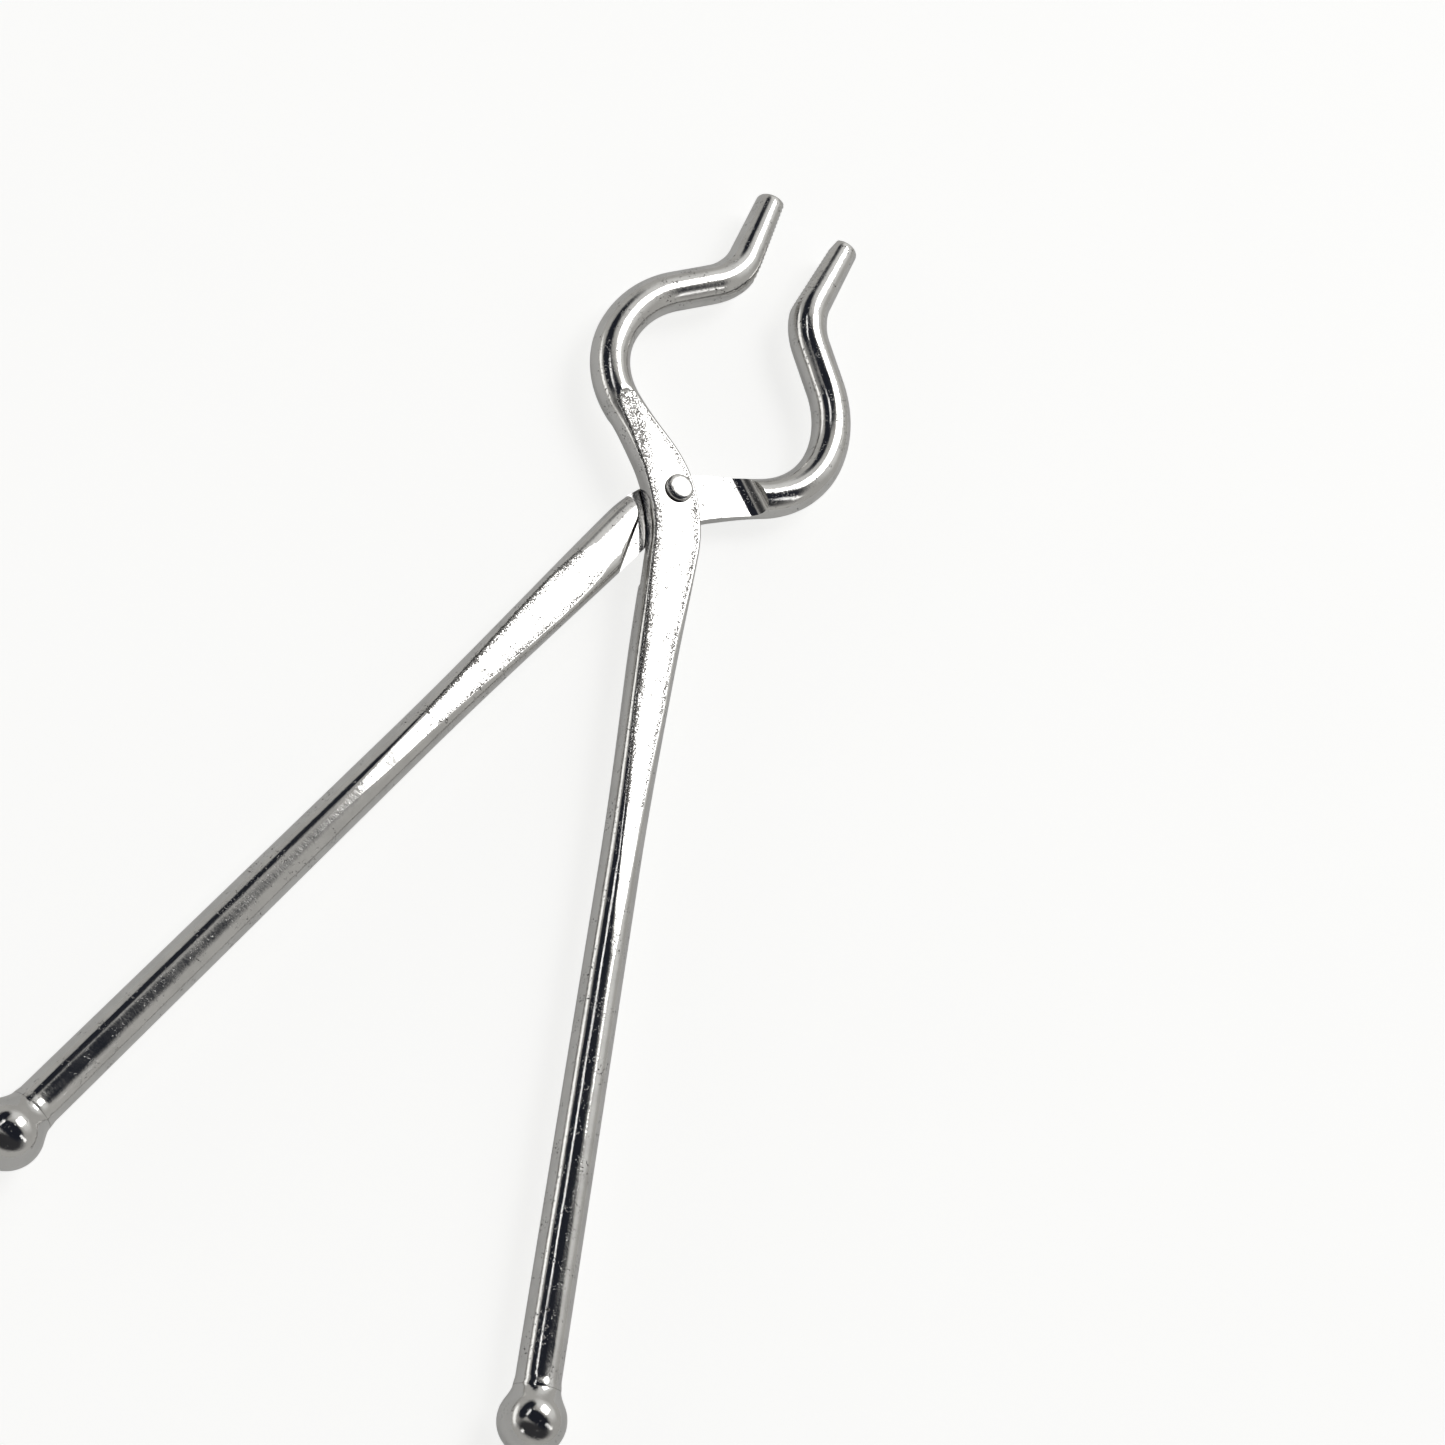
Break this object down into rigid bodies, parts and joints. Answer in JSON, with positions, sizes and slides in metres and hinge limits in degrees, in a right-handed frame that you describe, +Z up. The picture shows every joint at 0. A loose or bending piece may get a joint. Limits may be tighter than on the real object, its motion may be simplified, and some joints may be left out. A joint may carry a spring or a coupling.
{
  "type": "crucible tongs",
  "caption": "Scissor tongs of bent round steel rod: halved riveted crossing, round bow, toothed jaw tips and a ball on each handle.",
  "frame": {"origin": "on the bench under the middle of the tongs' length, lying flat and open as posed", "axes": "+Y along the tongs towards the jaws, +Z up out of the bench, +X to the right seen from above"},
  "size_m": [0.091, 0.2014, 0.0098],
  "materials": {
    "arm_steel": "mirror polish with fine pits and grinding marks on the flats",
    "ball_steel": "mirror polish",
    "rivet_steel": "hammered dome, polished over"
  },
  "bodies": {
    "rear_half": {"rear_arm": "arm_steel", "rear_ball": "ball_steel", "pivot_rivet": "rivet_steel"},
    "front_half": {"front_arm": "arm_steel", "front_ball": "ball_steel"}
  },
  "joints": [
    {"name": "crossing_pivot", "type": "hinge", "parent": "rear_half", "child": "front_half", "pos_m": [0, 0.0422, 0.00489], "axis": [0, 0, 1], "range_deg": [-10, 38]}
  ]
}
